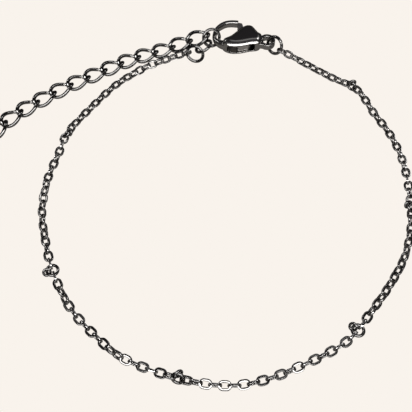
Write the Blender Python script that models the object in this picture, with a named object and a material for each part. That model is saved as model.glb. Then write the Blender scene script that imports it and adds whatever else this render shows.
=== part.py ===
# Cable chain bracelet of polished dark steel, lying closed on a table.
# A fine flat-link chain carries six pairs of small rings, a lobster clasp
# hooks into the end ring, and a chain of larger curb links hangs on behind.
# Metres, +Z up, origin on the floor at the middle of the footprint.
import math
import bpy
import bmesh
from mathutils import Matrix, Vector

MM = 0.001

# Flat links of the fine chain
LINK_LENGTH = 1.90 * MM
LINK_WIDTH = 1.50 * MM
LINK_RIM = 0.33 * MM
LINK_THICKNESS = 0.32 * MM
LINK_SOLDER = 0.06 * MM
LINK_SIDES = 10
LINK_HOLE_SIDES = 6

# Pairs of rings set into the fine chain: one carries the chain, a small one hangs on its side
STATION_RING_OUTER = 2.20 * MM
STATION_RING_WIRE = 0.42 * MM
STATION_RING_GAP = 0.08 * MM
SIDE_RING_OUTER = 1.16 * MM
SIDE_RING_WIRE = 0.28 * MM
STATION_RING_SIDES = 10

# Jump rings beside the clasp
JUMP_RING_OUTER = 3.50 * MM
JUMP_RING_WIRE = 0.50 * MM
JUMP_RING_SIDES = 12

# Curb links of the extender
CURB_LENGTH = 4.65 * MM
CURB_WIDTH = 3.10 * MM
CURB_WIRE = 0.58 * MM
CURB_PLAY = 0.20 * MM
CURB_TWIST = math.radians(-45.0)
CURB_SIDES = 12
CURB_COUNT = 14

# Lobster clasp
CLASP_REACH = 10.00 * MM
CLASP_HALF_WIDTH = 3.30 * MM
CLASP_THICKNESS = 3.00 * MM
CLASP_ROUNDING = 0.50 * MM
CLASP_TURN = math.radians(-13.0)
CHEEK_GAP = 1.60 * MM
LEVER_THICKNESS = 1.40 * MM
HOOK_HEIGHT = 1.40 * MM
HOOK_WIDTH = 0.90 * MM
EYE_OUTER = 2.90 * MM
EYE_HOLE = 1.70 * MM
EYE_THICKNESS = 1.15 * MM
EYE_HEIGHT = 1.45 * MM
PIN_DIAMETER = 0.70 * MM
PIN_CLEARANCE = 0.05 * MM
PIN_INSET = 0.05 * MM

WIRE_SIDES = 5

# Chosen points of the fine chain's route, clockwise from the clasp, with
# heights, and of the extender's route from the end ring outwards, in millimetres
CHAIN_ROUTE = [
    (13.57, 29.68, 1.37), (15.30, 28.90, 0.95), (17.60, 27.30, 0.77), (22.10, 23.80, 0.95),
    (26.00, 21.00, 1.13), (28.45, 16.00, 0.77), (30.65, 11.20, 0.77), (31.85, 6.00, 0.77),
    (31.90, -0.20, 0.88), (31.25, -5.80, 0.77), (29.65, -10.75, 0.77), (26.90, -15.30, 0.77),
    (23.50, -19.70, 0.77), (19.70, -24.00, 0.77), (13.75, -27.25, 0.77), (7.50, -29.65, 0.77),
    (2.30, -30.30, 0.77), (-4.00, -29.30, 0.98), (-10.95, -26.75, 0.77), (-15.00, -23.70, 0.77),
    (-19.30, -19.20, 0.77), (-22.50, -13.40, 0.77), (-24.30, -7.90, 0.77), (-25.35, -3.00, 0.77),
    (-25.20, 2.60, 0.77), (-24.00, 7.70, 0.77), (-22.90, 12.00, 0.84), (-19.40, 17.50, 0.77),
    (-15.60, 22.40, 0.77), (-11.70, 25.70, 0.77), (-8.90, 27.45, 0.77), (-6.90, 28.35, 0.78),
    (-5.20, 28.95, 1.05), (-3.47, 29.30, 1.33),
]
EXTENDER_ROUTE = [
    (-1.44, 32.64, 1.68), (-4.70, 31.66, 1.10), (-7.60, 30.65, 0.78), (-13.70, 28.10, 0.78),
    (-19.60, 24.70, 0.78), (-25.20, 21.25, 0.78), (-30.50, 17.20, 0.78), (-33.60, 14.20, 0.78),
    (-36.20, 10.60, 0.78), (-38.60, 7.40, 0.78), (-40.60, 3.90, 0.78),
]

# Turn of the even links about the chain's axis, against the share of the chain
# from the clasp; odd links are a quarter turn further on
LINK_TURNS = [
    (0.000, -18), (0.046, 0), (0.198, 0), (0.229, 45), (0.344, 50), (0.370, 90), (0.519, 90),
    (0.565, 180), (0.580, 180), (0.611, 270), (0.641, 270), (0.679, 360), (0.695, 360),
    (0.725, 405), (0.763, 405), (0.790, 450), (0.817, 450), (0.863, 540), (0.947, 540),
    (1.000, 556),
]
# Places of the ring pairs, as shares of the chain from the clasp
STATION_SHARES = [0.0840, 0.2366, 0.3740, 0.5344, 0.6870, 0.8397]

# Jump rings: name, middle in millimetres from what carries the ring, the clasp's eye or the ring
# seat on its hook, and compass and rise of the ring's axis in degrees
EYE_RINGS = [
    ("clasp_ring", (1.32, -0.95, 1.65), -135.0, 24.0),
]
HOOK_RINGS = [
    ("end_ring_1", (-3.54, -3.07, 0.92), -37.4, 65.6),
    ("end_ring_2", (-2.01, -1.39, 1.04), 158.3, 59.0),
    ("end_ring_3", (-0.58, 0.24, 1.53), -69.9, 33.1),
]

# Roll of the first curb links about the extender's axis, in degrees; the others lie flat
CURB_ROLLS = [-17.7, -7.1]

# Clasp shapes, as shares of its reach from the eye and of its half width. The end rings and both
# routes' ends move with the ring seat on the hook, from where they were drawn for it.
CLASP_EYE = (11.00, 31.85)
RING_SEAT = (0.935, -0.42)
DRAWN_SEAT = (1.578, 32.603)
BODY_OUTLINE = [
    (0.118, -0.42), (0.278, -0.66), (0.411, -0.87), (0.520, -0.99), (0.620, -1.02),
    (0.700, -0.96), (0.750, -0.85), (0.755, -0.62), (0.730, -0.50), (0.644, -0.25),
    (0.575, 0.08), (0.525, 0.35), (0.470, 0.56), (0.405, 0.70), (0.330, 0.70),
    (0.265, 0.53), (0.195, 0.32), (0.118, 0.15),
]
NECK_OUTLINE = [
    (0.060, -0.40), (0.240, -0.52), (0.240, 0.32), (0.060, 0.26),
]
SLOT_OUTLINE = [
    (0.190, -1.30), (0.660, -1.30), (0.670, -0.70), (0.690, -0.40), (0.690, 0.80),
    (0.490, 0.80), (0.415, 0.42), (0.360, 0.38), (0.285, 0.28), (0.245, 0.06), (0.190, -0.30),
]
LEVER_OUTLINE = [
    (0.290, -0.54), (0.370, -0.70), (0.460, -0.84), (0.510, -0.68), (0.460, -0.27),
    (0.520, 0.06), (0.560, 0.36), (0.568, 0.70), (0.558, 0.83), (0.515, 0.80),
    (0.462, 0.50), (0.395, 0.28), (0.320, 0.25), (0.283, 0.12), (0.275, -0.10),
]
PIVOT = (0.360, 0.03)
# Hook bar: reach, width, height, and multiples of the hook's width and thickness
HOOK_ROWS = [
    (0.640, -0.74, 0.50, 1.70, 1.35), (0.750, -0.74, 0.47, 1.60, 1.22),
    (0.862, -0.66, 0.47, 1.05, 0.95), (0.935, -0.42, 0.47, 0.86, 0.80),
    (0.958, -0.08, 0.47, 0.84, 0.78), (0.943, 0.27, 0.49, 0.88, 0.86),
    (0.885, 0.57, 0.50, 1.00, 0.93), (0.810, 0.79, 0.50, 1.00, 0.96),
    (0.710, 0.91, 0.50, 1.00, 1.00), (0.586, 0.96, 0.50, 1.05, 1.00),
]
# Corners of the hook's rounded section, as shares of its half width and half height
HOOK_SECTION = [
    (-0.5, -1.0), (0.5, -1.0), (1.0, -0.5), (1.0, 0.5), (0.5, 1.0), (-0.5, 1.0), (-1.0, 0.5), (-1.0, -0.5),
]


def smooth_route(points, start_shift, end_shift, steps=12):
    """Points of a smooth curve through the chosen points, with the length up to each."""
    knots = []
    for index, point in enumerate(points):
        knots.append(Vector(point) * MM + start_shift.lerp(end_shift, index / (len(points) - 1)))
    knots = [2 * knots[0] - knots[1]] + knots + [2 * knots[-1] - knots[-2]]
    curve = []
    for before, start, end, after in zip(knots, knots[1:], knots[2:], knots[3:]):
        for step in range(steps):
            t = step / steps
            curve.append(0.5 * (2 * start + (end - before) * t
                                + (2 * before - 5 * start + 4 * end - after) * t ** 2
                                + (3 * start - before - 3 * end + after) * t ** 3))
    curve.append(knots[-2])
    lengths = [0.0]
    for previous, current in zip(curve, curve[1:]):
        lengths.append(lengths[-1] + (current - previous).length)
    return curve, lengths


def point_on_route(route, distance):
    """Place and direction on a route at a distance from its start, also a little past its ends."""
    curve, lengths = route
    index = 0
    while index < len(lengths) - 2 and lengths[index + 1] < distance:
        index += 1
    step = curve[index + 1] - curve[index]
    share = (distance - lengths[index]) / (lengths[index + 1] - lengths[index])
    return curve[index] + step * share, step.normalized()


def table_value(table, share):
    """Value between the rows of a table of (share, value)."""
    for (low, low_value), (high, high_value) in zip(table, table[1:]):
        if share <= high:
            return low_value + (high_value - low_value) * (share - low) / (high - low)
    return table[-1][1]


def axis_matrix(place, direction, roll):
    """Frame with X along the direction and Z turned by roll from upright."""
    along = direction.normalized()
    across = Vector((0.0, 0.0, 1.0)).cross(along).normalized()
    upright = along.cross(across)
    frame = Matrix((along, across, upright)).transposed().to_4x4()
    return Matrix.Translation(place) @ frame @ Matrix.Rotation(roll, 4, "X")


def loops_to_bmesh(loops, closed):
    """Skin through a row of point loops, joined round or capped at both ends."""
    bm = bmesh.new()
    rows = [[bm.verts.new(point) for point in loop] for loop in loops]
    pairs = list(zip(rows, rows[1:]))
    if closed:
        pairs.append((rows[-1], rows[0]))
    else:
        bm.faces.new(reversed(rows[0]))
        bm.faces.new(rows[-1])
    for first, second in pairs:
        for index, vert in enumerate(first):
            follower = (index + 1) % len(first)
            bm.faces.new((vert, first[follower], second[follower], second[index]))
    bmesh.ops.recalc_face_normals(bm, faces=bm.faces)
    return bm


def shape_data(bm):
    """Plain lists of a mesh's points and faces, to be placed many times."""
    bm.verts.index_update()
    points = [vert.co.copy() for vert in bm.verts]
    faces = [[vert.index for vert in face.verts] for face in bm.faces]
    bm.free()
    return points, faces


def placed(shape, frames):
    """One set of points and faces with the shape repeated at each frame."""
    points = []
    faces = []
    for frame in frames:
        first = len(points)
        points.extend(frame @ point for point in shape[0])
        faces.extend([first + index for index in face] for face in shape[1])
    return points, faces


def steel(name, shade, roughness):
    """Polished dark stainless steel."""
    material = bpy.data.materials.new(name)
    material.use_nodes = True
    surface = material.node_tree.nodes["Principled BSDF"]
    surface.inputs["Base Color"].default_value = (shade, shade * 0.97, shade * 0.94, 1.0)
    surface.inputs["Metallic"].default_value = 1.0
    surface.inputs["Roughness"].default_value = roughness
    return material


def add_object(name, shape, material, smooth_angle=0.7):
    """A named object from points and faces."""
    mesh = bpy.data.meshes.new(name)
    mesh.from_pydata([tuple(point) for point in shape[0]], [], shape[1])
    mesh.update()
    mesh.shade_smooth()
    mesh.set_sharp_from_angle(angle=smooth_angle)
    made = bpy.data.objects.new(name, mesh)
    bpy.context.scene.collection.objects.link(made)
    mesh.materials.append(material)
    return made


def add_guide(name, shape, material):
    """A shape that only adds to or cuts another, and isn't part of the bracelet."""
    guide = add_object(name, shape, material)
    guide.hide_render = True
    guide.display_type = "WIRE"
    return guide


def combine(target, guide, operation):
    """Boolean of a piece with a guide, kept live on the piece."""
    modifier = target.modifiers.new(guide.name, "BOOLEAN")
    modifier.operation = operation
    modifier.solver = "EXACT"
    modifier.object = guide


def oval_points(half_length, half_width, sides):
    """Corners of an oval with flat ends, counted from just after one end's middle."""
    step = 2 * math.pi / sides
    corners = []
    for index in range(sides):
        angle = step * (index + 0.5)
        corners.append((half_length * math.cos(angle) / math.cos(step / 2), half_width * math.sin(angle)))
    return corners


def ring_faces(bm, outer, hole):
    """Flat face of a link, as triangles and quads between its outline and its hole."""
    outer_count = 0
    hole_count = 0
    while outer_count < len(outer) or hole_count < len(hole):
        outer_turn = (outer_count + 1) * len(hole)
        hole_turn = (hole_count + 1) * len(outer)
        corners = [outer[outer_count % len(outer)]]
        if outer_turn <= hole_turn:
            corners.append(outer[(outer_count + 1) % len(outer)])
        if hole_turn <= outer_turn:
            corners.append(hole[(hole_count + 1) % len(hole)])
        corners.append(hole[hole_count % len(hole)])
        bm.faces.new(corners)
        outer_count += outer_turn <= hole_turn
        hole_count += hole_turn <= outer_turn


def flat_link():
    """Oval link of flat wire."""
    outline = oval_points(LINK_LENGTH / 2, LINK_WIDTH / 2, LINK_SIDES)
    opening = oval_points(LINK_LENGTH / 2 - LINK_RIM, LINK_WIDTH / 2 - LINK_RIM, LINK_HOLE_SIDES)
    bm = bmesh.new()
    rows = []
    for height in (LINK_THICKNESS / 2, -LINK_THICKNESS / 2):
        outer = [bm.verts.new((x, y, height)) for x, y in outline]
        hole = [bm.verts.new((x, y, height)) for x, y in opening]
        ring_faces(bm, outer, hole)
        rows.append((outer, hole))
    for upper, lower in zip(*rows):
        for index, vert in enumerate(upper):
            follower = (index + 1) % len(upper)
            bm.faces.new((vert, upper[follower], lower[follower], lower[index]))
    bmesh.ops.recalc_face_normals(bm, faces=bm.faces)
    return shape_data(bm)


def wire_loop(centreline, wire, section_sides=WIRE_SIDES):
    """Round wire bent round a closed centreline about the origin."""
    count = len(centreline)
    loops = []
    for index, place in enumerate(centreline):
        along = (centreline[(index + 1) % count] - centreline[index - 1]).normalized()
        outward = (place - along * place.dot(along)).normalized()
        sideways = along.cross(outward)
        loop = []
        for side in range(section_sides):
            angle = 2 * math.pi * side / section_sides
            loop.append(place + (outward * math.cos(angle) + sideways * math.sin(angle)) * wire / 2)
        loops.append(loop)
    return shape_data(loops_to_bmesh(loops, closed=True))


def round_ring(outer, wire, sides):
    """Closed round ring of round wire, lying in the XY plane."""
    radius = (outer - wire) / 2
    centreline = []
    for index in range(sides):
        angle = 2 * math.pi * (index + 0.5) / sides
        centreline.append(Vector((radius * math.cos(angle), radius * math.sin(angle), 0.0)))
    return wire_loop(centreline, wire)


def curb_link():
    """Oval link twisted about its long axis, so that a row of them lies flat."""
    half_length = (CURB_LENGTH - CURB_WIRE) / 2
    half_width = (CURB_WIDTH - CURB_WIRE) / 2
    centreline = []
    for index in range(CURB_SIDES):
        angle = 2 * math.pi * index / CURB_SIDES
        twist = CURB_TWIST * math.cos(angle)
        across = half_width * math.sin(angle)
        centreline.append(Vector((half_length * math.cos(angle),
                                  across * math.cos(twist), across * math.sin(twist))))
    return wire_loop(centreline, CURB_WIRE)


def clasp_point(reach_share, width_share):
    """Place on the clasp's own plane, from the eye towards the hook and across it."""
    return Vector((-reach_share * CLASP_REACH, width_share * CLASP_HALF_WIDTH))


def inset_outline(outline, distance):
    """Outline moved inwards by a distance, corner by corner."""
    moved = []
    count = len(outline)
    for index, corner in enumerate(outline):
        before = (corner - outline[index - 1]).normalized()
        after = (outline[(index + 1) % count] - corner).normalized()
        inward = (Vector((-before.y, before.x)) + Vector((-after.y, after.x))).normalized()
        stretch = max(0.5, inward.dot(Vector((-after.y, after.x))))
        moved.append(corner + inward * distance / stretch)
    return moved


def plate(outline, levels):
    """Solid between levels of (height, inset) of one outline."""
    loops = []
    for height, inset in levels:
        loops.append([(point.x, point.y, height) for point in inset_outline(outline, inset)])
    return shape_data(loops_to_bmesh(loops, closed=False))


def round_bar(centre, diameter, low, high, sides=12):
    """Upright round bar."""
    loops = []
    for height in (low, high):
        loop = []
        for side in range(sides):
            angle = 2 * math.pi * side / sides
            loop.append((centre.x + diameter / 2 * math.cos(angle),
                         centre.y + diameter / 2 * math.sin(angle), height))
        loops.append(loop)
    return shape_data(loops_to_bmesh(loops, closed=False))


def hook_bar(rows):
    """Rounded bar swept round the hook, from rows of place, height, width and thickness."""
    places = [clasp_point(row[0], row[1]) for row in rows]
    loops = []
    for index, (place, row) in enumerate(zip(places, rows)):
        ahead = places[min(index + 1, len(rows) - 1)]
        behind = places[max(index - 1, 0)]
        along = (ahead - behind).normalized()
        sideways = Vector((-along.y, along.x))
        half_width = row[3] * HOOK_WIDTH / 2
        half_height = row[4] * HOOK_HEIGHT / 2
        middle = row[2] * CLASP_THICKNESS
        loop = []
        for across, up in HOOK_SECTION:
            spot = place + sideways * across * half_width
            loop.append((spot.x, spot.y, middle + up * half_height))
        loops.append(loop)
    return shape_data(loops_to_bmesh(loops, closed=False))


def chain_places():
    """Distance along the route of every link and ring pair, and which are pairs."""
    link_reach = (LINK_LENGTH - LINK_RIM) / 2
    pitch = LINK_LENGTH - 2 * LINK_RIM + LINK_SOLDER
    ring_radius = (STATION_RING_OUTER - STATION_RING_WIRE) / 2
    pair_inside = ring_radius * math.cos(math.pi / STATION_RING_SIDES) - STATION_RING_WIRE / 2
    pair_step = pair_inside - STATION_RING_GAP - LINK_RIM / 2 + link_reach
    length = chain_route[1][-1]
    extra = 2 * len(STATION_SHARES) * (pair_step - pitch)
    count = round((length - extra) / pitch) + 1
    pairs = [round(share * (count - 1)) for share in STATION_SHARES]
    places = [0.0]
    for index in range(1, count):
        places.append(places[-1] + (pair_step if index in pairs or index - 1 in pairs else pitch))
    stretch = length / places[-1]
    return [place * stretch for place in places], pairs


def link_frame(index):
    """Frame of one place in the fine chain."""
    place, direction = point_on_route(chain_route, chain_distances[index])
    share = index / (len(chain_distances) - 1)
    turn = math.radians(table_value(LINK_TURNS, share) + 90.0 * (index % 2))
    return axis_matrix(place, direction, turn)


def build_chain_runs():
    """Fine chain between the ring pairs, each run's links joined into one body."""
    link = flat_link()
    ends = [-1] + station_indices + [len(chain_distances)]
    for number, (low, high) in enumerate(zip(ends, ends[1:]), start=1):
        indices = range(low + 1, high)
        first_set = placed(link, [link_frame(index) for index in indices if index % 2 == 0])
        second_set = placed(link, [link_frame(index) for index in indices if index % 2 == 1])
        run = add_object(f"chain_run_{number}", first_set, chain_steel)
        others = add_guide(f"chain_run_{number}_others", second_set, chain_steel)
        combine(run, others, "UNION")


def build_stations():
    """At each station a ring through the links on both sides, and a smaller ring on its side."""
    ring = round_ring(STATION_RING_OUTER, STATION_RING_WIRE, STATION_RING_SIDES)
    side_ring = round_ring(SIDE_RING_OUTER, SIDE_RING_WIRE, STATION_RING_SIDES)
    ring_radius = (STATION_RING_OUTER - STATION_RING_WIRE) / 2
    quarter_turn = Matrix.Rotation(math.pi / 2, 4, "Y")
    for number, index in enumerate(station_indices, start=1):
        frame = link_frame(index)
        side_frame = frame @ Matrix.Translation((0.0, ring_radius, 0.0)) @ quarter_turn
        add_object(f"station_{number}_ring_a", placed(ring, [frame]), ring_steel)
        add_object(f"station_{number}_ring_b", placed(side_ring, [side_frame]), ring_steel)


def build_jump_rings():
    """Plain rings that tie the clasp, the chain's end and the extender together."""
    ring = round_ring(JUMP_RING_OUTER, JUMP_RING_WIRE, JUMP_RING_SIDES)
    for carrier, rings in ((clasp_frame.translation, EYE_RINGS), (ring_seat, HOOK_RINGS)):
        for name, offset, compass, rise in rings:
            level = math.cos(math.radians(rise))
            axis = Vector((level * math.cos(math.radians(compass)),
                           level * math.sin(math.radians(compass)), math.sin(math.radians(rise))))
            turn = Vector((0.0, 0.0, 1.0)).rotation_difference(axis).to_matrix().to_4x4()
            frame = Matrix.Translation(carrier + Vector(offset) * MM) @ turn
            add_object(name, placed(ring, [frame]), ring_steel)


def build_extender():
    """Curb links in a row, each through the next."""
    link = curb_link()
    pitch = CURB_LENGTH - 2 * CURB_WIRE - CURB_PLAY
    for index in range(CURB_COUNT):
        place, _ = point_on_route(extender_route, index * pitch)
        ahead, _ = point_on_route(extender_route, (index + 0.5) * pitch)
        behind, _ = point_on_route(extender_route, (index - 0.5) * pitch)
        roll = math.radians(CURB_ROLLS[index]) if index < len(CURB_ROLLS) else 0.0
        frame = axis_matrix(place, ahead - behind, roll)
        add_object(f"extender_link_{index + 1:02d}", placed(link, [frame]), ring_steel)


def build_clasp():
    """Hollow body with hook and eye, the lever between its cheeks, and the lever's pin."""
    middle = CLASP_THICKNESS / 2
    pivot = clasp_point(*PIVOT)
    eye = Vector((0.0, 0.0))

    def outline(rows):
        return [clasp_point(*row) for row in reversed(rows)]

    rounded = [(0.0, CLASP_ROUNDING), (CLASP_ROUNDING * 0.9, 0.0),
               (CLASP_THICKNESS - CLASP_ROUNDING * 0.9, 0.0), (CLASP_THICKNESS, CLASP_ROUNDING)]
    body = add_object("clasp_body", placed(plate(outline(BODY_OUTLINE), rounded), [clasp_frame]), clasp_steel)
    eye_low = EYE_HEIGHT - EYE_THICKNESS / 2
    eye_high = EYE_HEIGHT + EYE_THICKNESS / 2
    additions = {
        "clasp_hook": hook_bar(HOOK_ROWS),
        "clasp_neck": plate(outline(NECK_OUTLINE), [(eye_low, 0.0), (eye_high, 0.0)]),
        "clasp_eye": round_bar(eye, EYE_OUTER, eye_low, eye_high, sides=16),
    }
    for name, shape in additions.items():
        combine(body, add_guide(name, placed(shape, [clasp_frame]), clasp_steel), "UNION")
    bore = PIN_DIAMETER + 2 * PIN_CLEARANCE
    slot_levels = [(middle - CHEEK_GAP / 2, 0.0), (middle + CHEEK_GAP / 2, 0.0)]
    cuts = {
        "cheek_slot": plate(outline(SLOT_OUTLINE), slot_levels),
        "eye_hole": round_bar(eye, EYE_HOLE, -middle, CLASP_THICKNESS + middle),
        "pin_bore": round_bar(pivot, bore, -middle, CLASP_THICKNESS + middle),
    }
    for name, shape in cuts.items():
        combine(body, add_guide(name, placed(shape, [clasp_frame]), clasp_steel), "DIFFERENCE")

    hinge = bpy.data.objects.new("lever_hinge_axis", None)
    bpy.context.scene.collection.objects.link(hinge)
    hinge.matrix_world = clasp_frame @ Matrix.Translation((pivot.x, pivot.y, middle))
    to_hinge = Matrix.Translation((-pivot.x, -pivot.y, -middle))
    lever_levels = [(middle - LEVER_THICKNESS / 2, 0.0), (middle + LEVER_THICKNESS / 2, 0.0)]
    lever_shape = placed(plate(outline(LEVER_OUTLINE), lever_levels), [to_hinge])
    lever = add_object("clasp_lever", lever_shape, clasp_steel)
    lever.parent = hinge
    lever_bore = add_guide("lever_bore", round_bar(eye, bore, -middle, middle), clasp_steel)
    lever_bore.parent = hinge
    combine(lever, lever_bore, "DIFFERENCE")

    pin = round_bar(pivot, PIN_DIAMETER, PIN_INSET, CLASP_THICKNESS - PIN_INSET)
    add_object("lever_pin", placed(pin, [clasp_frame]), clasp_steel)


def centre_on_floor():
    """Move everything so that the footprint's middle is the origin and the lowest point is at zero."""
    depsgraph = bpy.context.evaluated_depsgraph_get()
    pieces = [item.evaluated_get(depsgraph) for item in bpy.context.scene.objects
              if item.type == "MESH" and not item.hide_render]
    corners = [item.matrix_world @ vert.co for item in pieces for vert in item.data.vertices]
    lows = [min(corner[axis] for corner in corners) for axis in range(3)]
    highs = [max(corner[axis] for corner in corners) for axis in range(3)]
    shift = Vector((-(lows[0] + highs[0]) / 2, -(lows[1] + highs[1]) / 2, -lows[2]))
    for item in bpy.context.scene.objects:
        if item.parent is None:
            item.location += shift


for item in list(bpy.data.objects):
    bpy.data.objects.remove(item, do_unlink=True)

chain_steel = steel("chain_steel", 0.42, 0.22)
ring_steel = steel("ring_steel", 0.36, 0.20)
clasp_steel = steel("clasp_steel", 0.20, 0.16)

clasp_frame = Matrix.Translation(Vector((*CLASP_EYE, 0.0)) * MM) @ Matrix.Rotation(CLASP_TURN, 4, "Z")
ring_seat = clasp_frame @ clasp_point(*RING_SEAT).to_3d()
seat_shift = ring_seat - Vector((*DRAWN_SEAT, 0.0)) * MM
chain_route = smooth_route(CHAIN_ROUTE, Vector(), seat_shift)
extender_route = smooth_route(EXTENDER_ROUTE, seat_shift, seat_shift)
chain_distances, station_indices = chain_places()

build_chain_runs()
build_stations()
build_jump_rings()
build_extender()
build_clasp()
centre_on_floor()
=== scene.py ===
# A cable chain bracelet of polished dark steel, lying closed on a pale table top. The sections
# follow the way it is put together: fine chain, ring pairs, jump rings, extender, clasp and lever,
# and then the table top, the studio and the camera.
import math
import random

import bmesh
import bpy
from mathutils import Matrix, Vector


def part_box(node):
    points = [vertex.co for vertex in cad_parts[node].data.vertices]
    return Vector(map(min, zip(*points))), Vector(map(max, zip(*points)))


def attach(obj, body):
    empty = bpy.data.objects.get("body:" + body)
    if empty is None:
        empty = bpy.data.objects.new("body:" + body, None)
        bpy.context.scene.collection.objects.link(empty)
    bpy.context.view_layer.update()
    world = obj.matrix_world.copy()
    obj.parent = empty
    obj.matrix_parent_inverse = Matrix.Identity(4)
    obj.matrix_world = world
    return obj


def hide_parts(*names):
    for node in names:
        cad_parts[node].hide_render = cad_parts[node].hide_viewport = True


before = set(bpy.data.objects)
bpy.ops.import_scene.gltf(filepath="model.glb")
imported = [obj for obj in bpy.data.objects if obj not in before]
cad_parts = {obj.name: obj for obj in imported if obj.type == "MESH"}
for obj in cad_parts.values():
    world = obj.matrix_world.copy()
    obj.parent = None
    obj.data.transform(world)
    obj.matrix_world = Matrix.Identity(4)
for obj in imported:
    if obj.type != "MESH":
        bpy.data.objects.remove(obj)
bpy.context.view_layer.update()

# Fine chain: oval links of steel wire rolled flat, each closed through the one before. The flats
# are polished nearly black, and the rims carry a lighter tone, which is a painted sheen standing in
# for the reflections on the rims. The route is in the maker's drawing, in millimetres, which the
# clasp's rivet ties to the frame.
MM = 0.001
LINK_LENGTH = 1.90 * MM
LINK_WIDTH = 1.42 * MM
LINK_RIM = 0.35 * MM
LINK_THICKNESS = 0.32 * MM
LINK_EDGE = 0.05 * MM
LINK_PITCH = 1.30 * MM
RING_PAIR_REACH = 1.176 * MM
LINK_CORNER_SHARE = 0.49
LINK_CORNER_STEPS = 5
LINK_EDGE_STEPS = 2
LINK_ROCK = math.radians(6.0)
LINK_ROCK_ALONG_SHARE = 0.4
TIPPED_LINKS = {
    57: -19.0, 63: -17.0, 65: -25.0, 67: -22.0, 72: 24.0, 76: -24.0, 124: 36.0, 126: 33.0,
}
QUARTER_TURN = 90.0
EDGE_TONE = 0.10
CLOUD_SHARE = 0.35
MARK_DEPTH = 0.02 * MM
MARK_STRENGTH = 0.12
CHAIN_ROUTE = [
    (13.57, 29.68, 1.37), (15.30, 28.90, 0.95), (17.60, 27.30, 0.77), (22.10, 23.80, 0.95),
    (26.00, 21.00, 1.13), (28.45, 16.00, 0.77), (30.65, 11.20, 0.77), (31.85, 6.00, 0.77),
    (31.90, -0.20, 0.88), (31.25, -5.80, 0.77), (29.65, -10.75, 0.77), (26.90, -15.30, 0.77),
    (23.50, -19.70, 0.77), (19.70, -24.00, 0.77), (13.75, -27.25, 0.77), (7.50, -29.65, 0.77),
    (2.30, -30.30, 0.77), (-4.00, -29.30, 0.98), (-10.95, -26.75, 0.77), (-15.00, -23.70, 0.77),
    (-19.30, -19.20, 0.77), (-22.50, -13.40, 0.77), (-24.30, -7.90, 0.77), (-25.35, -3.00, 0.77),
    (-25.20, 2.60, 0.77), (-24.00, 7.70, 0.77), (-22.90, 12.00, 0.84), (-19.40, 17.50, 0.77),
    (-15.60, 22.40, 0.77), (-11.70, 25.70, 0.77), (-8.90, 27.45, 0.77), (-6.90, 28.35, 0.78),
    (-5.20, 28.95, 1.05), (-3.47, 29.30, 1.33),
]
LINK_TURNS = [
    (0.000, -18), (0.046, 0), (0.198, 0), (0.229, 45), (0.344, 50), (0.370, 90), (0.519, 90),
    (0.565, 180), (0.580, 180), (0.611, 270), (0.641, 270), (0.679, 360), (0.695, 360),
    (0.725, 405), (0.763, 405), (0.790, 450), (0.817, 450), (0.863, 540), (0.947, 540),
    (1.000, 556),
]
RING_PAIR_SHARES = [0.0840, 0.2366, 0.3740, 0.5344, 0.6870, 0.8397]
CLASP_EYE = Vector((11.00, 31.85, 0.0)) * MM
CLASP_TURN = math.radians(-13.0)
CLASP_REACH = 10.00 * MM
CLASP_HALF_WIDTH = 3.30 * MM
RIVET = (0.360, 0.03)


def on_clasp(reach_share, width_share, height=0.0):
    """Place in the drawing from shares of the clasp's reach and half width."""
    flat = Vector((-reach_share * CLASP_REACH, width_share * CLASP_HALF_WIDTH, height))
    return CLASP_EYE + Matrix.Rotation(CLASP_TURN, 3, "Z") @ flat


rivet_low, rivet_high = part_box("lever_pin")
drawing_origin = (rivet_low + rivet_high) / 2 - on_clasp(*RIVET)
drawing_origin.z = 0.0


def smooth_route(points, steps=12):
    """Smooth curve through the chosen points, in the frame, and the length up to each step."""
    knots = [drawing_origin + Vector(point) * MM for point in points]
    knots = [2 * knots[0] - knots[1]] + knots + [2 * knots[-1] - knots[-2]]
    curve = []
    for before, start, end, after in zip(knots, knots[1:], knots[2:], knots[3:]):
        for step in range(steps):
            t = step / steps
            curve.append(0.5 * (2 * start + (end - before) * t
                                + (2 * before - 5 * start + 4 * end - after) * t ** 2
                                + (3 * start - before - 3 * end + after) * t ** 3))
    curve.append(knots[-2])
    lengths = [0.0]
    for previous, current in zip(curve, curve[1:]):
        lengths.append(lengths[-1] + (current - previous).length)
    return curve, lengths


def point_on_route(route, distance):
    """Place and direction at a distance along a route, also a little past its ends."""
    curve, lengths = route
    index = 0
    while index < len(lengths) - 2 and lengths[index + 1] < distance:
        index += 1
    step = curve[index + 1] - curve[index]
    share = (distance - lengths[index]) / (lengths[index + 1] - lengths[index])
    return curve[index] + step * share, step.normalized()


def lying_frame(place, direction, roll):
    """Frame with X along the chain and Z rolled from upright."""
    along = direction.normalized()
    across = Vector((0.0, 0.0, 1.0)).cross(along).normalized()
    turn = Matrix((along, across, along.cross(across))).transposed().to_4x4()
    return Matrix.Translation(place) @ turn @ Matrix.Rotation(roll, 4, "X")


def link_turn(share):
    """Turn of the chain about its own line, in degrees, at a share of its length."""
    for (low, low_turn), (high, high_turn) in zip(LINK_TURNS, LINK_TURNS[1:]):
        if share <= high:
            return low_turn + (high_turn - low_turn) * (share - low) / (high - low)
    return LINK_TURNS[-1][1]


chain_route = smooth_route(CHAIN_ROUTE)
ring_pair_extra = 2 * len(RING_PAIR_SHARES) * (RING_PAIR_REACH - LINK_PITCH)
place_count = round((chain_route[1][-1] - ring_pair_extra) / LINK_PITCH) + 1
ring_pair_places = [round(share * (place_count - 1)) for share in RING_PAIR_SHARES]
chain_distances = [0.0]
for place_index in range(1, place_count):
    beside_pair = place_index in ring_pair_places or place_index - 1 in ring_pair_places
    chain_distances.append(chain_distances[-1] + (RING_PAIR_REACH if beside_pair else LINK_PITCH))
chain_stretch = chain_route[1][-1] / chain_distances[-1]


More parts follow.
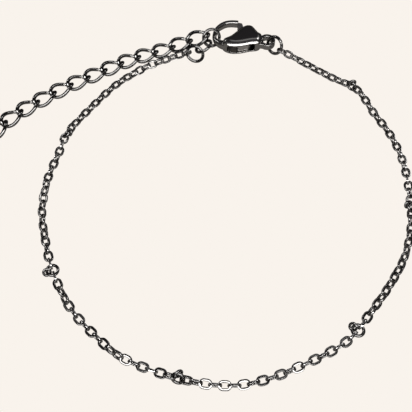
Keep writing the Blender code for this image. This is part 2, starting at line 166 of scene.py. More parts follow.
def chain_frame(index):
    """Frame of one link's or ring pair's place in the chain."""
    place, direction = point_on_route(chain_route, chain_distances[index] * chain_stretch)
    turn = link_turn(index / (place_count - 1)) + QUARTER_TURN * (index % 2)
    return lying_frame(place, direction, math.radians(turn))


def places_mesh(name, frames):
    """Loose points that carry each copy's turn, for a tree to set copies on."""
    points = bpy.data.meshes.new(name)
    points.from_pydata([tuple(spot.translation) for spot in frames], [], [])
    turned = points.attributes.new("turned", "FLOAT_VECTOR", "POINT")
    for spot, value in zip(frames, turned.data):
        value.vector = spot.to_euler()
    return points


def new_tree(name, sizes):
    """Geometry tree with named length inputs and a material input."""
    tree = bpy.data.node_groups.new(name, "GeometryNodeTree")
    tree.interface.new_socket("Geometry", in_out="INPUT", socket_type="NodeSocketGeometry")
    for size in sizes:
        tree.interface.new_socket(size, in_out="INPUT", socket_type="NodeSocketFloat")
    tree.interface.new_socket("Finish", in_out="INPUT", socket_type="NodeSocketMaterial")
    tree.interface.new_socket("Geometry", in_out="OUTPUT", socket_type="NodeSocketGeometry")
    entry = tree.nodes.new("NodeGroupInput")
    return tree, {socket.name: socket for socket in entry.outputs if socket.name}


def step_in(tree, kind, inputs, output=0, **settings):
    """Adds one node, fills or links its inputs by name or number, and gives an output back."""
    node = tree.nodes.new(kind)
    for name, value in settings.items():
        setattr(node, name, value)
    for name, value in inputs.items():
        if isinstance(value, bpy.types.NodeSocket):
            tree.links.new(value, node.inputs[name])
        else:
            node.inputs[name].default_value = value
    return node.outputs[output]


def set_copies(tree, entry, shape):
    """Ends a tree: sets the shape on the points as they are turned, and gives it its finish."""
    turned = step_in(tree, "GeometryNodeInputNamedAttribute", {"Name": "turned"},
                     data_type="FLOAT_VECTOR")
    rotation = step_in(tree, "FunctionNodeEulerToRotation", {0: turned})
    copies = step_in(tree, "GeometryNodeInstanceOnPoints",
                     {"Points": entry["Geometry"], "Instance": shape, "Rotation": rotation})
    solid = step_in(tree, "GeometryNodeRealizeInstances", {"Geometry": copies})
    finished = step_in(tree, "GeometryNodeSetMaterial",
                       {"Geometry": solid, "Material": entry["Finish"]})
    out = tree.nodes.new("NodeGroupOutput")
    tree.links.new(finished, out.inputs[0])


def grow(name, points, tree, sizes, finish):
    """Runs a tree on the points and keeps its result as a plain, named piece."""
    seedling = bpy.data.objects.new(name + "_places", points)
    bpy.context.scene.collection.objects.link(seedling)
    modifier = seedling.modifiers.new("grow", "NODES")
    modifier.node_group = tree
    for item in tree.interface.items_tree:
        if item.in_out == "INPUT" and item.name in sizes:
            modifier[item.identifier] = sizes[item.name]
        if item.in_out == "INPUT" and item.name == "Finish":
            modifier[item.identifier] = finish
    even = seedling.modifiers.new("even", "WEIGHTED_NORMAL")
    even.keep_sharp = False
    depsgraph = bpy.context.evaluated_depsgraph_get()
    mesh = bpy.data.meshes.new_from_object(seedling.evaluated_get(depsgraph))
    mesh.name = name
    bpy.data.objects.remove(seedling)
    piece = bpy.data.objects.new(name, mesh)
    bpy.context.scene.collection.objects.link(piece)
    return piece


def dark_steel(name, flat_tone, rim_tone, gloss, marks):
    """Polished dark steel: cloudy tone, hairline scratches, small dents, and a lighter rim tone
    where the attribute is set: real filing at the extender's seams, a painted sheen on the chain's
    link rims.
    """
    material = bpy.data.materials.new(name)
    material.use_nodes = True
    tree = material.node_tree
    surface = tree.nodes["Principled BSDF"]
    surface.inputs["Metallic"].default_value = 1.0
    surface.inputs["Specular Tint"].default_value = (EDGE_TONE, EDGE_TONE, EDGE_TONE, 1.0)
    place = step_in(tree, "ShaderNodeTexCoord", {}, output=3)
    in_mm = step_in(tree, "ShaderNodeMapping", {"Vector": place, "Scale": (1 / MM, 1 / MM, 1 / MM)})
    clouds = step_in(tree, "ShaderNodeTexNoise", {"Vector": in_mm, "Scale": 0.9, "Detail": 4.0})
    dents = step_in(tree, "ShaderNodeTexNoise", {"Vector": in_mm, "Scale": 3.5, "Detail": 2.0})
    drawn_out = step_in(tree, "ShaderNodeMapping",
                        {"Vector": in_mm, "Rotation": (0.3, 0.2, 0.6), "Scale": (1.2, 34.0, 9.0)})
    hairlines = step_in(tree, "ShaderNodeTexNoise",
                        {"Vector": drawn_out, "Scale": 1.0, "Detail": 5.0, "Roughness": 0.7})
    # The attribute read here lightens the tone: real filing wear at the extender's seams, and a
    # painted sheen on the fine chain's link rims.
    filing_and_sheen = step_in(tree, "ShaderNodeAttribute", {}, output=2, attribute_name="filing_and_sheen")
    cloudy = step_in(tree, "ShaderNodeMapRange",
                     {"Value": clouds, 1: 0.3, 2: 0.7, 3: 0.0, 4: CLOUD_SHARE})
    bright = step_in(tree, "ShaderNodeMath", {0: filing_and_sheen, 1: cloudy}, operation="MAXIMUM")
    tone = tree.nodes.new("ShaderNodeMix")
    tone.data_type = "RGBA"
    tree.links.new(bright, tone.inputs["Factor"])
    tone.inputs["A"].default_value = (flat_tone, flat_tone * 0.97, flat_tone * 0.94, 1.0)
    tone.inputs["B"].default_value = (rim_tone, rim_tone * 0.975, rim_tone * 0.95, 1.0)
    tree.links.new(tone.outputs["Result"], surface.inputs["Base Color"])
    dulled = step_in(tree, "ShaderNodeMapRange",
                     {"Value": hairlines, 1: 0.35, 2: 0.75,
                      3: gloss, 4: gloss + marks * MARK_STRENGTH})
    tree.links.new(dulled, surface.inputs["Roughness"])
    relief = step_in(tree, "ShaderNodeMath", {0: hairlines, 1: dents}, operation="ADD")
    bump = step_in(tree, "ShaderNodeBump",
                   {"Height": relief, "Strength": marks * MARK_STRENGTH, "Distance": MARK_DEPTH})
    tree.links.new(bump, surface.inputs["Normal"])
    return material


# The chain's rim tone is a painted sheen on the link rims, set in the link tree below.
chain_steel = dark_steel("chain_steel", flat_tone=0.24, rim_tone=0.50, gloss=0.10, marks=0.5)

link_tree, link_in = new_tree("flat_link", ["Length", "Width", "Rim", "Thickness", "Edge"])
centre_length = step_in(link_tree, "ShaderNodeMath", {0: link_in["Length"], 1: link_in["Rim"]},
                        operation="SUBTRACT")
centre_width = step_in(link_tree, "ShaderNodeMath", {0: link_in["Width"], 1: link_in["Rim"]},
                       operation="SUBTRACT")
corner_radius = step_in(link_tree, "ShaderNodeMath", {0: centre_width, 1: LINK_CORNER_SHARE},
                        operation="MULTIPLY")
oblong = step_in(link_tree, "GeometryNodeCurvePrimitiveQuadrilateral",
                 {"Width": centre_length, "Height": centre_width})
oval = step_in(link_tree, "GeometryNodeFilletCurve",
               {"Curve": oblong, "Count": LINK_CORNER_STEPS, "Radius": corner_radius}, mode="POLY")
flat_wire = step_in(link_tree, "GeometryNodeCurvePrimitiveQuadrilateral",
                    {"Width": link_in["Rim"], "Height": link_in["Thickness"]})
soft_wire = step_in(link_tree, "GeometryNodeFilletCurve",
                    {"Curve": flat_wire, "Count": LINK_EDGE_STEPS, "Radius": link_in["Edge"]},
                    mode="POLY")
bent_link = step_in(link_tree, "GeometryNodeCurveToMesh",
                    {"Curve": oval, "Profile Curve": soft_wire})
# Painted sheen: faces turned away from the link's flats (the rims and their rounded edges) get the
# lighter rim tone, standing in for the reflections on the rims.
facing = step_in(link_tree, "GeometryNodeInputNormal", {})
upward = step_in(link_tree, "ShaderNodeSeparateXYZ", {0: facing}, output=2)
level = step_in(link_tree, "ShaderNodeMath", {0: upward}, operation="ABSOLUTE")
painted_rim_sheen = step_in(link_tree, "ShaderNodeMapRange",
                    {"Value": level, 1: 0.55, 2: 0.98, 3: 1.0, 4: 0.0})
link_with_sheen = step_in(link_tree, "GeometryNodeStoreNamedAttribute",
                      {"Geometry": bent_link, "Name": "filing_and_sheen", "Value": painted_rim_sheen},
                      data_type="FLOAT", domain="FACE")
set_copies(link_tree, link_in, link_with_sheen)

rocking = random.Random(4)
link_frames = []
for place_index in range(place_count):
    rock_roll = rocking.uniform(-LINK_ROCK, LINK_ROCK)
    rock_pitch = rocking.uniform(-LINK_ROCK, LINK_ROCK) * LINK_ROCK_ALONG_SHARE
    if place_index in TIPPED_LINKS:
        rock_roll = math.radians(TIPPED_LINKS[place_index])
    if place_index not in ring_pair_places:
        rock = Matrix.Rotation(rock_roll, 4, "X") @ Matrix.Rotation(rock_pitch, 4, "Y")
        link_frames.append(chain_frame(place_index) @ rock)
fine_chain = grow("fine_chain", places_mesh("link_places", link_frames), link_tree,
                  {"Length": LINK_LENGTH, "Width": LINK_WIDTH, "Rim": LINK_RIM,
                   "Thickness": LINK_THICKNESS, "Edge": LINK_EDGE}, chain_steel)
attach(fine_chain, "bracelet")
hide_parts(*[f"chain_run_{number}" for number in range(1, 8)])

# Ring pairs: at six places one round wire ring joins the chain, and a smaller ring hangs on its
# side, leaning whichever way turns its hole up and to the front. Both are polished wire, closed end
# to end with a hairline seam.
RING_OUTER = 2.10 * MM
RING_WIRE = 0.46 * MM
SIDE_RING_OUTER = 1.40 * MM
SIDE_RING_WIRE = 0.38 * MM
SIDE_RING_LEAN = math.radians(45.0)
SIDE_RING_FACES = Vector((0.0, -0.45, 0.90))
SEAM_SHARE = 0.004
wire_steel = dark_steel("wire_steel", flat_tone=0.17, rim_tone=0.50, gloss=0.08, marks=0.4)


def wire_ring_tree(name, corners, sides):
    """Tree for a round ring of round wire with a fine seam where its ends meet."""
    tree, entry = new_tree(name, ["Outer", "Wire", "Seam"])
    across = step_in(tree, "ShaderNodeMath", {0: entry["Outer"], 1: entry["Wire"]},
                     operation="SUBTRACT")
    radius = step_in(tree, "ShaderNodeMath", {0: across, 1: 0.5}, operation="MULTIPLY")
    circle = step_in(tree, "GeometryNodeCurvePrimitiveCircle",
                     {"Resolution": corners, "Radius": radius})
    seam_end = step_in(tree, "ShaderNodeMath", {0: 1.0, 1: entry["Seam"]}, operation="SUBTRACT")
    opened = step_in(tree, "GeometryNodeTrimCurve",
                     {"Curve": circle, 2: entry["Seam"], 3: seam_end})
    wire_radius = step_in(tree, "ShaderNodeMath", {0: entry["Wire"], 1: 0.5}, operation="MULTIPLY")
    section = step_in(tree, "GeometryNodeCurvePrimitiveCircle",
                      {"Resolution": sides, "Radius": wire_radius})
    ring = step_in(tree, "GeometryNodeCurveToMesh",
                   {"Curve": opened, "Profile Curve": section, "Fill Caps": True})
    set_copies(tree, entry, ring)
    return tree


pair_tree = wire_ring_tree("pair_ring", corners=32, sides=12)
pair_frames = [chain_frame(index) for index in ring_pair_places]
side_step = Matrix.Translation((0.0, (RING_OUTER - RING_WIRE) / 2, 0.0))
side_frames = []
for spot in pair_frames:
    leaning_ways = [spot @ side_step @ Matrix.Rotation(math.pi / 2 + way * SIDE_RING_LEAN, 4, "Y")
                    for way in (-1.0, 1.0)]
    side_frames.append(max(leaning_ways,
                           key=lambda leaning: abs(leaning.col[2].to_3d().dot(SIDE_RING_FACES))))
for name, letter, frames, outer, wire in (
        ("chain_rings", "a", pair_frames, RING_OUTER, RING_WIRE),
        ("side_rings", "b", side_frames, SIDE_RING_OUTER, SIDE_RING_WIRE)):
    pair_rings = grow(name, places_mesh(name + "_places", frames), pair_tree,
                      {"Outer": outer, "Wire": wire, "Seam": SEAM_SHARE}, wire_steel)
    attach(pair_rings, "bracelet")
    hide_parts(*[f"station_{number}_ring_{letter}" for number in range(1, 7)])

# Jump rings: plain rings of thicker wire. One ties the chain's start to the clasp's eye, and three
# in a row tie its end and the extender to the hook. Each row gives a ring's middle in the drawing,
# and the compass turn and rise of its axis.
JUMP_RING_OUTER = 3.56 * MM
JUMP_RING_WIRE = 0.56 * MM
JUMP_RINGS = {
    "clasp_ring": ((12.32, 30.90, 1.65), -135.0, 24.0),
    "end_ring_1": ((-1.962, 29.533, 0.92), -37.4, 65.6),
    "end_ring_2": ((-0.432, 31.213, 1.04), 158.3, 59.0),
    "end_ring_3": ((0.998, 32.843, 1.53), -69.9, 33.1),
}
jump_frames = []
for middle, compass, rise in JUMP_RINGS.values():
    compass, rise = math.radians(compass), math.radians(rise)
    axis = Vector((math.cos(rise) * math.cos(compass), math.cos(rise) * math.sin(compass),
                   math.sin(rise)))
    lean = Vector((0.0, 0.0, 1.0)).rotation_difference(axis).to_matrix().to_4x4()
    jump_frames.append(Matrix.Translation(drawing_origin + Vector(middle) * MM) @ lean)
jump_rings = grow("jump_rings", places_mesh("jump_ring_places", jump_frames),
                  wire_ring_tree("jump_ring", corners=48, sides=16),
                  {"Outer": JUMP_RING_OUTER, "Wire": JUMP_RING_WIRE, "Seam": SEAM_SHARE},
                  wire_steel)
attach(jump_rings, "bracelet")
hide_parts(*JUMP_RINGS)

# Extender: curb links of round wire, each twisted about its length so that the row lies flat. The
# wire's ends meet on one long side, in a seam that is rubbed bright by the file.
CURB_LENGTH = 4.67 * MM
CURB_WIDTH = 3.12 * MM
CURB_WIRE = 0.60 * MM
CURB_PLAY = 0.18 * MM
CURB_TWIST = math.radians(-45.0)
CURB_COUNT = 14
CURB_ROLLS = [-17.7, -7.1]
CURB_SEAM_TURN = math.radians(242.0)
CURB_CORNERS = 60
CURB_WIRE_SIDES = 14
FILED_FROM = 0.44
FILED_TO = 0.475
EXTENDER_ROUTE = [
    (-1.44, 32.64, 1.68), (-4.70, 31.66, 1.10), (-7.60, 30.65, 0.78), (-13.70, 28.10, 0.78),
    (-19.60, 24.70, 0.78), (-25.20, 21.25, 0.78), (-30.50, 17.20, 0.78), (-33.60, 14.20, 0.78),
    (-36.20, 10.60, 0.78), (-38.60, 7.40, 0.78), (-40.60, 3.90, 0.78),
]
curb_tree, curb_in = new_tree("curb_link", ["Length", "Width", "Wire", "Twist", "Seam"])
curb_length = step_in(curb_tree, "ShaderNodeMath", {0: curb_in["Length"], 1: curb_in["Wire"]},
                      operation="SUBTRACT")
curb_width = step_in(curb_tree, "ShaderNodeMath", {0: curb_in["Width"], 1: curb_in["Wire"]},
                     operation="SUBTRACT")
round_start = step_in(curb_tree, "GeometryNodeCurvePrimitiveCircle",
                      {"Resolution": CURB_CORNERS, "Radius": 0.5})
turned_start = step_in(curb_tree, "GeometryNodeTransform",
                       {"Geometry": round_start, "Rotation": (0.0, 0.0, CURB_SEAM_TURN)})
seam_end = step_in(curb_tree, "ShaderNodeMath", {0: 1.0, 1: curb_in["Seam"]}, operation="SUBTRACT")
opened = step_in(curb_tree, "GeometryNodeTrimCurve",
                 {"Curve": turned_start, 2: curb_in["Seam"], 3: seam_end})
spot = step_in(curb_tree, "GeometryNodeInputPosition", {})
along = step_in(curb_tree, "ShaderNodeSeparateXYZ", {0: spot}, output=0)
across = step_in(curb_tree, "ShaderNodeSeparateXYZ", {0: spot}, output=1)
double_along = step_in(curb_tree, "ShaderNodeMath", {0: along, 1: 2.0}, operation="MULTIPLY")
twist = step_in(curb_tree, "ShaderNodeMath", {0: double_along, 1: curb_in["Twist"]},
                operation="MULTIPLY")
twist_cos = step_in(curb_tree, "ShaderNodeMath", {0: twist}, operation="COSINE")
twist_sin = step_in(curb_tree, "ShaderNodeMath", {0: twist}, operation="SINE")
out_along = step_in(curb_tree, "ShaderNodeMath", {0: along, 1: curb_length},
                    operation="MULTIPLY")
out_wide = step_in(curb_tree, "ShaderNodeMath", {0: across, 1: curb_width},
                   operation="MULTIPLY")
out_across = step_in(curb_tree, "ShaderNodeMath", {0: out_wide, 1: twist_cos},
                     operation="MULTIPLY")
out_up = step_in(curb_tree, "ShaderNodeMath", {0: out_wide, 1: twist_sin}, operation="MULTIPLY")
twisted_place = step_in(curb_tree, "ShaderNodeCombineXYZ",
                        {0: out_along, 1: out_across, 2: out_up})
twisted = step_in(curb_tree, "GeometryNodeSetPosition",
                  {"Geometry": opened, "Position": twisted_place})
curb_wire_radius = step_in(curb_tree, "ShaderNodeMath", {0: curb_in["Wire"], 1: 0.5},
                           operation="MULTIPLY")
curb_section = step_in(curb_tree, "GeometryNodeCurvePrimitiveCircle",
                       {"Resolution": CURB_WIRE_SIDES, "Radius": curb_wire_radius})
round_share = step_in(curb_tree, "GeometryNodeSplineParameter", {})
from_middle = step_in(curb_tree, "ShaderNodeMath", {0: round_share, 1: 0.5}, operation="SUBTRACT")
to_seam = step_in(curb_tree, "ShaderNodeMath", {0: from_middle}, operation="ABSOLUTE")
filed = step_in(curb_tree, "ShaderNodeMapRange",
                {"Value": to_seam, 1: FILED_FROM, 2: FILED_TO, 3: 0.0, 4: 1.0})
marked_wire = step_in(curb_tree, "GeometryNodeStoreNamedAttribute",
                      {"Geometry": twisted, "Name": "filing_and_sheen", "Value": filed},
                      data_type="FLOAT", domain="POINT")
curb_wire = step_in(curb_tree, "GeometryNodeCurveToMesh",
                    {"Curve": marked_wire, "Profile Curve": curb_section, "Fill Caps": True})
set_copies(curb_tree, curb_in, curb_wire)

extender_route = smooth_route(EXTENDER_ROUTE)
curb_pitch = CURB_LENGTH - 2 * CURB_WIRE - CURB_PLAY
curb_frames = []
for index in range(CURB_COUNT):
    middle, _ = point_on_route(extender_route, index * curb_pitch)
    ahead, _ = point_on_route(extender_route, (index + 0.5) * curb_pitch)
    behind, _ = point_on_route(extender_route, (index - 0.5) * curb_pitch)
    roll = CURB_ROLLS[index] if index < len(CURB_ROLLS) else 0.0
    curb_frames.append(lying_frame(middle, ahead - behind, math.radians(roll)))
extender = grow("extender", places_mesh("curb_places", curb_frames), curb_tree,
                {"Length": CURB_LENGTH, "Width": CURB_WIDTH, "Wire": CURB_WIRE,
                 "Twist": CURB_TWIST, "Seam": SEAM_SHARE}, wire_steel)
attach(extender, "bracelet")
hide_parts(*[f"extender_link_{number:02d}" for number in range(1, CURB_COUNT + 1)])

# Lobster clasp: cast steel body with a hook and an eye, milled with a slot for the lever, then
# tumbled so that every edge is soft and the upper face is a black mirror. It is shaped in
# millimetres, and its outlines are shares of its reach and half width.
CLASP_THICKNESS = 3.00
CHEEK_GAP = 1.60
PILLOW_REACH = 1.10
PILLOW_DROP = 0.34
HOOK_HEIGHT = 1.40
HOOK_WIDTH = 0.90
EYE_OUTER = 2.90
EYE_HOLE = 1.70
EYE_THICKNESS = 1.15
EYE_HEIGHT = 1.45
RIVET_DIAMETER = 0.70
THROUGH_CUT = (-1.0, 4.0)
HOOK_SIDES = 20
HOOK_SQUARENESS = 0.7
CLASP_GRAIN = 0.07
TUMBLE_FACTOR = 0.6
BODY_OUTLINE = [
    (0.118, -0.42), (0.278, -0.66), (0.411, -0.87), (0.520, -0.99), (0.620, -1.02),
    (0.700, -0.96), (0.750, -0.85), (0.755, -0.62), (0.730, -0.50), (0.644, -0.25),
    (0.575, 0.08), (0.525, 0.35), (0.470, 0.56), (0.405, 0.70), (0.330, 0.70),
    (0.265, 0.53), (0.195, 0.32), (0.118, 0.15),
]
NECK_OUTLINE = [
    (0.060, -0.40), (0.240, -0.52), (0.240, 0.32), (0.060, 0.26),
]
SLOT_OUTLINE = [
    (0.190, -1.30), (0.660, -1.30), (0.670, -0.70), (0.690, -0.40), (0.690, 0.80),
    (0.490, 0.80), (0.415, 0.42), (0.360, 0.38), (0.285, 0.28), (0.245, 0.06), (0.190, -0.30),
]
HOOK_ROWS = [
    (0.640, -0.74, 0.50, 1.70, 1.35), (0.750, -0.74, 0.47, 1.60, 1.22),
    (0.862, -0.66, 0.47, 1.05, 0.95), (0.935, -0.42, 0.47, 0.86, 0.80),
    (0.958, -0.08, 0.47, 0.84, 0.78), (0.943, 0.27, 0.49, 0.88, 0.86),
    (0.885, 0.57, 0.50, 1.00, 0.93), (0.810, 0.79, 0.50, 1.00, 0.96),
    (0.710, 0.91, 0.50, 1.00, 1.00), (0.594, 0.96, 0.50, 1.05, 1.00),
]
clasp_steel = dark_steel("clasp_steel", flat_tone=0.40, rim_tone=0.44, gloss=0.16, marks=0.25)


def smooth_rows(rows, closed, steps):
    """Smooth curve through rows of numbers of any length."""
    if closed:
        knots = [rows[-1]] + list(rows) + [rows[0], rows[1]]
    else:
        knots = [rows[0]] + list(rows) + [rows[-1]]
    made = []
    for quad in zip(knots, knots[1:], knots[2:], knots[3:]):
        for step in range(steps):
            t = step / steps
            made.append(tuple(
                0.5 * (2 * b + (c - a) * t + (2 * a - 5 * b + 4 * c - d) * t ** 2
                       + (3 * b - a - 3 * c + d) * t ** 3) for a, b, c, d in zip(*quad)))
    if not closed:
        made.append(tuple(rows[-1]))
    return made


def clasp_flat(reach_share, width_share):
    """Place on the clasp's plan in millimetres, from the middle of its eye."""
    return Vector((-reach_share * CLASP_REACH / MM, width_share * CLASP_HALF_WIDTH / MM))


def skin_loops(name, loops):
    """Closed body through a row of loops, capped at both ends."""
    bm = bmesh.new()
    rows = [[bm.verts.new(point) for point in loop] for loop in loops]
    bm.faces.new(reversed(rows[0]))
    bm.faces.new(rows[-1])
    for lower, upper in zip(rows, rows[1:]):
        for index, vert in enumerate(lower):
            after = (index + 1) % len(lower)
            bm.faces.new((vert, lower[after], upper[after], upper[index]))
    bmesh.ops.recalc_face_normals(bm, faces=bm.faces)
    mesh = bpy.data.meshes.new(name)
    bm.to_mesh(mesh)
    bm.free()
    shape = bpy.data.objects.new(name, mesh)
    bpy.context.scene.collection.objects.link(shape)
    return shape


def slab(name, outline, low, high):
    """Plate of one outline between two heights."""
    return skin_loops(name, [[(x, y, height) for x, y in outline] for height in (low, high)])


def disc(centre, diameter, corners=48):
    """Round outline."""
    turns = [2 * math.pi * corner / corners for corner in range(corners)]
    return [(centre[0] + diameter / 2 * math.cos(turn), centre[1] + diameter / 2 * math.sin(turn))
            for turn in turns]


def tumbled(name, blank, joined, cut, grain, passes):
    """Joins and cuts the blank, then evens it out and softens its edges, as tumbling does."""
    for operation, tools in (("UNION", joined), ("DIFFERENCE", cut)):
        for tool in tools:
            modifier = blank.modifiers.new(tool.name, "BOOLEAN")
            modifier.operation = operation
            modifier.solver = "EXACT"
            modifier.object = tool
    remesh = blank.modifiers.new("even", "REMESH")
    remesh.mode = "VOXEL"
    remesh.voxel_size = grain
    soften = blank.modifiers.new("soften", "SMOOTH")
    soften.factor = TUMBLE_FACTOR
    soften.iterations = passes
    depsgraph = bpy.context.evaluated_depsgraph_get()
    mesh = bpy.data.meshes.new_from_object(blank.evaluated_get(depsgraph))
    mesh.name = name
    for used in [blank, *joined, *cut]:
        bpy.data.objects.remove(used)
    mesh.shade_smooth()
    piece = bpy.data.objects.new(name, mesh)
    bpy.context.scene.collection.objects.link(piece)
    return piece


def clasp_into_frame(piece, finish, body):
    """Turns a piece from the clasp's plan in millimetres into its place on a body."""
    place = Matrix.Translation(drawing_origin + CLASP_EYE) @ Matrix.Rotation(CLASP_TURN, 4, "Z")
    piece.data.transform(place @ Matrix.Scale(MM, 4))
    piece.data.materials.clear()
    piece.data.materials.append(finish)
    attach(piece, body)


def pillow(mesh, outline, middle, half_height):
    """Rounds the flat faces down towards the outline."""
    corners = [Vector(corner) for corner in outline]
    edges = list(zip(corners, corners[1:] + corners[:1]))
    for vert in mesh.vertices:
        flat = Vector((vert.co.x, vert.co.y))
        nearest = PILLOW_REACH
        for start, end in edges:
            edge = end - start
            share = min(1.0, max(0.0, (flat - start).dot(edge) / edge.length_squared))
            nearest = min(nearest, (flat - start - edge * share).length)
        drop = PILLOW_DROP * (1 - nearest / PILLOW_REACH) ** 2
        lift = (vert.co.z - middle) / half_height
        vert.co.z = middle + half_height * lift * (1 - drop * min(1.0, abs(lift)) ** 2)


clasp_middle = CLASP_THICKNESS / 2
body_outline = [clasp_flat(*row) for row in smooth_rows(BODY_OUTLINE, closed=True, steps=6)]
hook_rows = smooth_rows(HOOK_ROWS, closed=False, steps=6)
hook_places = [clasp_flat(row[0], row[1]) for row in hook_rows]
hook_loops = []
for index, (middle, row) in enumerate(zip(hook_places, hook_rows)):
    ahead = hook_places[min(index + 1, len(hook_rows) - 1)]
    behind = hook_places[max(index - 1, 0)]
    heading = (ahead - behind).normalized()
    loop = []
    for side in range(HOOK_SIDES):
        turn = 2 * math.pi * side / HOOK_SIDES
        wide = math.copysign(abs(math.cos(turn)) ** HOOK_SQUARENESS, math.cos(turn))
        wide = wide * row[3] * HOOK_WIDTH / 2
        high = math.copysign(abs(math.sin(turn)) ** HOOK_SQUARENESS, math.sin(turn))
        high = high * row[4] * HOOK_HEIGHT / 2
        loop.append((middle.x - heading.y * wide, middle.y + heading.x * wide,
                     row[2] * CLASP_THICKNESS + high))
    hook_loops.append(loop)
eye_low, eye_high = EYE_HEIGHT - EYE_THICKNESS / 2, EYE_HEIGHT + EYE_THICKNESS / 2
rivet_spot = clasp_flat(*RIVET)
clasp_body = tumbled(
    "clasp_shell", slab("clasp_blank", body_outline, 0.0, CLASP_THICKNESS),
    joined=[skin_loops("hook_bar", hook_loops),
            slab("neck", [clasp_flat(*row) for row in NECK_OUTLINE], eye_low, eye_high),
            slab("eye_boss", disc((0.0, 0.0), EYE_OUTER), eye_low, eye_high)],
    cut=[slab("lever_slot", [clasp_flat(*row) for row in SLOT_OUTLINE],
              clasp_middle - CHEEK_GAP / 2, clasp_middle + CHEEK_GAP / 2),
         slab("eye_hole", disc((0.0, 0.0), EYE_HOLE), *THROUGH_CUT)],
    grain=CLASP_GRAIN, passes=5)
pillow(clasp_body.data, body_outline, clasp_middle, clasp_middle)
clasp_into_frame(clasp_body, clasp_steel, "bracelet")
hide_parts("clasp_body")

# Lever: stamped steel tongue that turns on the rivet between the cheeks, its tip closing the hook
# and its tail standing in the slot for a thumbnail. The rivet's ends lie inside the cheeks, which
# close over them, so they don't show.
LEVER_THICKNESS = 1.40
LEVER_HOLE_PLAY = 0.10
LEVER_GRAIN = 0.05
RIVET_PLAY = 0.02
RIVET_SINK = 0.15
LEVER_OUTLINE = [
    (0.290, -0.54), (0.370, -0.70), (0.460, -0.84), (0.510, -0.68), (0.460, -0.27),
    (0.520, 0.06), (0.562, 0.36), (0.588, 0.64), (0.588, 0.79), (0.576, 0.86), (0.515, 0.84),
    (0.462, 0.50), (0.395, 0.28), (0.320, 0.25), (0.283, 0.12), (0.275, -0.10),
]
brushed_steel = dark_steel("brushed_steel", flat_tone=0.62, rim_tone=0.75, gloss=0.26, marks=1.5)
lever = tumbled(
    "lever_tongue",
    slab("lever_blank",
         [clasp_flat(*row) for row in smooth_rows(LEVER_OUTLINE, closed=True, steps=4)],
         clasp_middle - LEVER_THICKNESS / 2, clasp_middle + LEVER_THICKNESS / 2),
    joined=[],
    cut=[slab("lever_hole", disc(rivet_spot, RIVET_DIAMETER + LEVER_HOLE_PLAY), *THROUGH_CUT)],
    grain=LEVER_GRAIN, passes=3)
clasp_into_frame(lever, brushed_steel, "lever")
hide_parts("clasp_lever")
rivet = tumbled(
    "rivet",
    slab("rivet_blank", disc(rivet_spot, RIVET_DIAMETER - RIVET_PLAY),
         RIVET_SINK, CLASP_THICKNESS - RIVET_SINK),
    joined=[], cut=[], grain=LEVER_GRAIN, passes=2)
clasp_into_frame(rivet, brushed_steel, "bracelet")
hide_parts("lever_pin")

# Table top: plain cream board, evenly lit, so that it shows almost no shadow. The metal sees it as
# a dull grey, as it does a board that is lit from far above.
FLOOR_SIZE = 1.6
FLOOR_DROP = 0.00002
CREAM = (0.947, 0.896, 0.839, 1.0)
DULL_CREAM = (0.24, 0.228, 0.216, 1.0)
floor_mesh = bpy.data.meshes.new("table_top")
corner = FLOOR_SIZE / 2
floor_mesh.from_pydata([(-corner, -corner, 0.0), (corner, -corner, 0.0), (corner, corner, 0.0),
                        (-corner, corner, 0.0)], [], [(0, 1, 2, 3)])
floor = bpy.data.objects.new("table_top", floor_mesh)
bpy.context.scene.collection.objects.link(floor)
floor.location.z = -FLOOR_DROP
board = bpy.data.materials.new("cream_board")
board.use_nodes = True
board_tree = board.node_tree
board_tree.nodes.clear()
seen = step_in(board_tree, "ShaderNodeLightPath", {}, output=0)
lit_board = step_in(board_tree, "ShaderNodeEmission", {"Color": CREAM, "Strength": 1.0})
dull_board = step_in(board_tree, "ShaderNodeEmission", {"Color": DULL_CREAM, "Strength": 1.0})
board_look = step_in(board_tree, "ShaderNodeMixShader", {0: seen, 1: dull_board, 2: lit_board})
board_out = board_tree.nodes.new("ShaderNodeOutputMaterial")
board_tree.links.new(board_look, board_out.inputs["Surface"])
floor_mesh.materials.append(board)

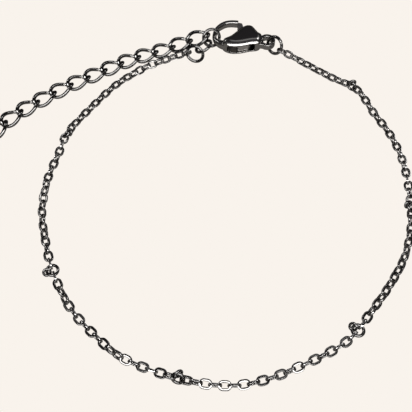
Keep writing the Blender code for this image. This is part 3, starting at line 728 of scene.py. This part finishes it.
# Studio: one wide soft box high at the front and a weak one low under it, a narrow one on each far
# side, a dim card high at the back for the near chain's flats, and a dark room beyond them, which
# the mirror faces show. A row gives compass turn, slope from upright, width, height and strength.
DARK_WALL = (0.03, 0.0285, 0.031, 1.0)
SOFT_BOXES = [
    ("front_box", 0.0, 34.0, 0.66, 0.12, 8.0),
    ("low_front_box", 0.0, 72.0, 0.60, 0.14, 0.8),
    ("left_box", -128.0, 50.0, 0.08, 0.16, 5.0),
    ("right_box", 128.0, 50.0, 0.08, 0.16, 4.0),
    ("back_card", 153.0, 20.0, 0.24, 0.14, 0.35),
]
BOX_DISTANCE = 0.45
for name, compass, slope, width, height, strength in SOFT_BOXES:
    light = bpy.data.lights.new(name, "AREA")
    light.shape = "RECTANGLE"
    light.size = width
    light.size_y = height
    light.energy = strength * width * height * math.pi
    lamp = bpy.data.objects.new(name, light)
    bpy.context.scene.collection.objects.link(lamp)
    turn, lean = math.radians(compass), math.radians(slope)
    heading = Vector((math.sin(turn) * math.sin(lean), -math.cos(turn) * math.sin(lean),
                      math.cos(lean)))
    lamp.location = heading * BOX_DISTANCE
    lamp.rotation_euler = heading.to_track_quat("Z", "Y").to_euler()
room = bpy.data.worlds.new("dark_room")
bpy.context.scene.world = room
room.use_nodes = True
room_tree = room.node_tree
room_tree.nodes.clear()
seen_room = step_in(room_tree, "ShaderNodeLightPath", {}, output=0)
cream_wall = step_in(room_tree, "ShaderNodeBackground", {"Color": CREAM, "Strength": 1.0})
dark_wall = step_in(room_tree, "ShaderNodeBackground", {"Color": DARK_WALL, "Strength": 1.0})
room_look = step_in(room_tree, "ShaderNodeMixShader", {0: seen_room, 1: dark_wall, 2: cream_wall})
room_out = room_tree.nodes.new("ShaderNodeOutputWorld")
room_tree.links.new(room_look, room_out.inputs["Surface"])
bpy.context.scene.view_settings.view_transform = "Standard"

# Camera: close above the front of the loop and tipped down, so that the near chain is seen from
# almost overhead and the clasp more from its side.
CAMERA_PLACE = Vector((0.0, -56.22, 90.6)) * MM
CAMERA_TIP = math.radians(31.0)
FOCAL_PIXELS = 675.0
PICTURE_PIXELS = 412.0
camera = bpy.data.cameras.new("camera")
camera.sensor_width = 36.0
camera.lens = camera.sensor_width * FOCAL_PIXELS / PICTURE_PIXELS
camera.clip_start = 0.005
viewer = bpy.data.objects.new("camera", camera)
bpy.context.scene.collection.objects.link(viewer)
viewer.location = drawing_origin + CAMERA_PLACE
viewer.rotation_euler = (CAMERA_TIP, 0.0, 0.0)
bpy.context.scene.camera = viewer
